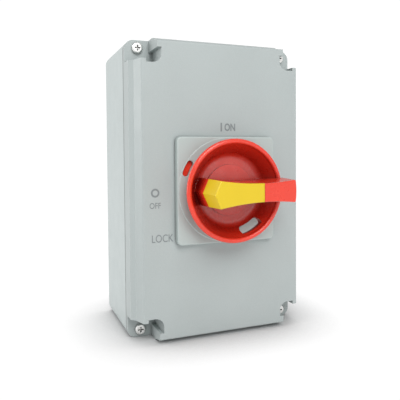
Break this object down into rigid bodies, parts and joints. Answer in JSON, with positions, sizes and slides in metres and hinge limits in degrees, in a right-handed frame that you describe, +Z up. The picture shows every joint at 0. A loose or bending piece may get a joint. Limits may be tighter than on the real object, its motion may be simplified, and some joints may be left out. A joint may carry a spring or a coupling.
{
  "type": "rotary isolator switch",
  "caption": "Rotary isolator switch in a wall-mounted die-cast case, with a screwed lid and a red dished handle that turns between on, off and a padlocking position.",
  "frame": {"origin": "centre of the case's back face, which goes against the wall", "axes": "+Z up, along the case's height; +X to the user's right; the handle faces -Y"},
  "size_m": [0.16, 0.1673, 0.256],
  "materials": {
    "grey_case_paint": "fine textured grey powder paint on die-cast aluminium",
    "grey_plastic": "fine matte light grey moulding",
    "red_plastic": "satin gloss signal red moulding",
    "yellow_plastic": "satin yellow moulding",
    "plated_steel": "bright zinc plated",
    "galvanised_steel": "spangled galvanised sheet",
    "black_moulding": "black thermoset moulding",
    "nylon": "natural nylon",
    "silvered_copper": "copper alloy, lightly tarnished",
    "brass": "machined brass",
    "black_rubber": "soft black seal rubber"
  },
  "bodies": {
    "enclosure": {"base_shell": "grey_case_paint", "entry_plugs_top": "grey_plastic", "entry_plugs_bottom": "grey_plastic", "entry_seals_top": "black_rubber", "entry_seals_bottom": "black_rubber", "mounting_plate": "galvanised_steel", "plate_screws": "plated_steel", "switch_foot": "black_moulding", "foot_screws": "plated_steel", "contact_deck_rear": "black_moulding", "contact_deck_middle": "black_moulding", "contact_deck_front": "black_moulding", "line_terminals": "silvered_copper", "load_terminals": "silvered_copper", "line_terminal_screws": "plated_steel", "load_terminal_screws": "plated_steel", "mechanism_housing": "black_moulding", "mechanism_cover": "black_moulding", "index_plungers": "plated_steel", "index_springs": "plated_steel", "tie_screws": "plated_steel", "earth_bar": "brass", "earth_screws": "plated_steel"},
    "lid": {"lid": "grey_case_paint", "lid_gasket": "black_rubber", "lid_screws": "plated_steel", "bezel_gasket": "black_rubber", "handle_bezel": "grey_plastic", "bezel_screws": "plated_steel", "shaft_bush": "nylon"},
    "handle": {"knob": "red_plastic", "pointer_insert": "yellow_plastic", "shaft_seal": "black_rubber", "clutch_socket": "nylon", "knob_screw": "plated_steel"},
    "rotor": {"drive_shaft": "plated_steel", "rotor": "nylon", "moving_blades": "silvered_copper", "index_cam": "nylon"}
  },
  "joints": [
    {"name": "lid_lift", "type": "slide", "parent": "enclosure", "child": "lid", "axis": [0, -1, 0], "range_m": [0, 0.08]},
    {"name": "handle_turn", "type": "hinge", "parent": "lid", "child": "handle", "pos_m": [0, -0.11, 0], "axis": [0, -1, 0], "range_deg": [-90, 35]},
    {"name": "rotor_turn", "type": "hinge", "parent": "enclosure", "child": "rotor", "pos_m": [0, -0.05, 0], "axis": [0, -1, 0], "range_deg": [-90, 35]}
  ],
  "couplings": [
    {"joint": "rotor_turn", "follows": "handle_turn", "ratio": 1}
  ]
}
